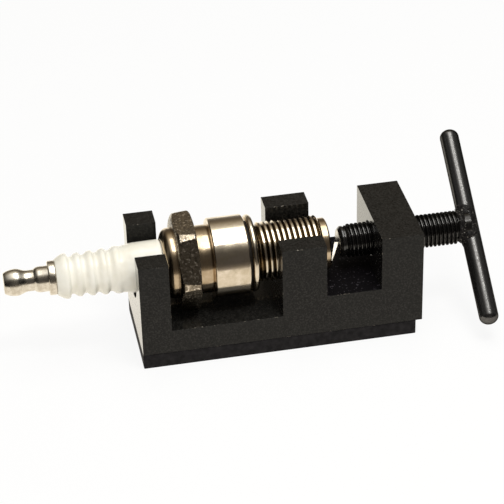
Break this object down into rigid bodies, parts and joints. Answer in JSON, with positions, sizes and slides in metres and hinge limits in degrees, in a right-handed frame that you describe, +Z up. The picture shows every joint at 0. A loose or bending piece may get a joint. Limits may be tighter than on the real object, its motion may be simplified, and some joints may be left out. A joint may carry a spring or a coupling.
{
  "type": "spark plug gap tool",
  "caption": "Hand tool that closes a spark plug's gap: a slotted steel block holds the plug and a T-bar screw presses on its ground strap.",
  "frame": {"origin": "middle of the block's footprint, on the underside of the base strip", "axes": "+X along the block from the plug's terminal to the T-bar, -Y to the front, +Z up"},
  "size_m": [0.113, 0.041, 0.0363],
  "materials": {
    "blackened_block": "black oxide steel, satin, milled",
    "rubber_strip": "matt black",
    "bright_steel": "bare turned steel",
    "blackened_screw": "black oxide steel, oiled",
    "blackened_bar": "black oxide steel, half gloss",
    "blackened_weld": "black weld bead, rough",
    "nickel_plate": "nickel plated steel",
    "gasket_steel": "plated sheet steel, folded",
    "white_glaze": "glazed alumina",
    "terminal_plate": "nickel plated",
    "plain_steel": "plain steel",
    "packed_talc": "pressed powder",
    "copper": "copper",
    "seal_glass": "copper-filled glass",
    "resistor_body": "carbon and ceramic",
    "electrode_alloy": "nickel alloy"
  },
  "bodies": {
    "block": {"block_body": "blackened_block", "base_strip": "rubber_strip"},
    "nose": {"pressure_nose": "bright_steel"},
    "screw": {"pressure_screw": "blackened_screw", "t_bar": "blackened_bar", "weld_fillet": "blackened_weld"},
    "plug": {"plug_shell": "nickel_plate", "gasket": "gasket_steel", "insulator": "white_glaze", "terminal_nut": "terminal_plate", "terminal_stud": "plain_steel", "packing_ring_upper": "plain_steel", "packing_ring_lower": "plain_steel", "talc_fill": "packed_talc", "seat_washer": "copper", "glass_seal_upper": "seal_glass", "resistor": "resistor_body", "glass_seal_lower": "seal_glass", "centre_electrode": "electrode_alloy", "copper_core": "copper", "ground_electrode": "electrode_alloy"}
  },
  "joints": [
    {"name": "screw_travel", "type": "slide", "parent": "block", "child": "nose", "axis": [1, 0, 0], "range_m": [0, 0.01]},
    {"name": "screw_turn", "type": "hinge", "parent": "nose", "child": "screw", "pos_m": [0.0477, 0, 0.02025], "axis": [1, 0, 0], "range_deg": [0, 3600]},
    {"name": "plug_lift", "type": "slide", "parent": "block", "child": "plug", "axis": [0, 0, 1], "range_m": [0, 0.04]}
  ],
  "couplings": [
    {"joint": "screw_travel", "follows": "screw_turn", "m_per_rad": 0.00015915}
  ]
}
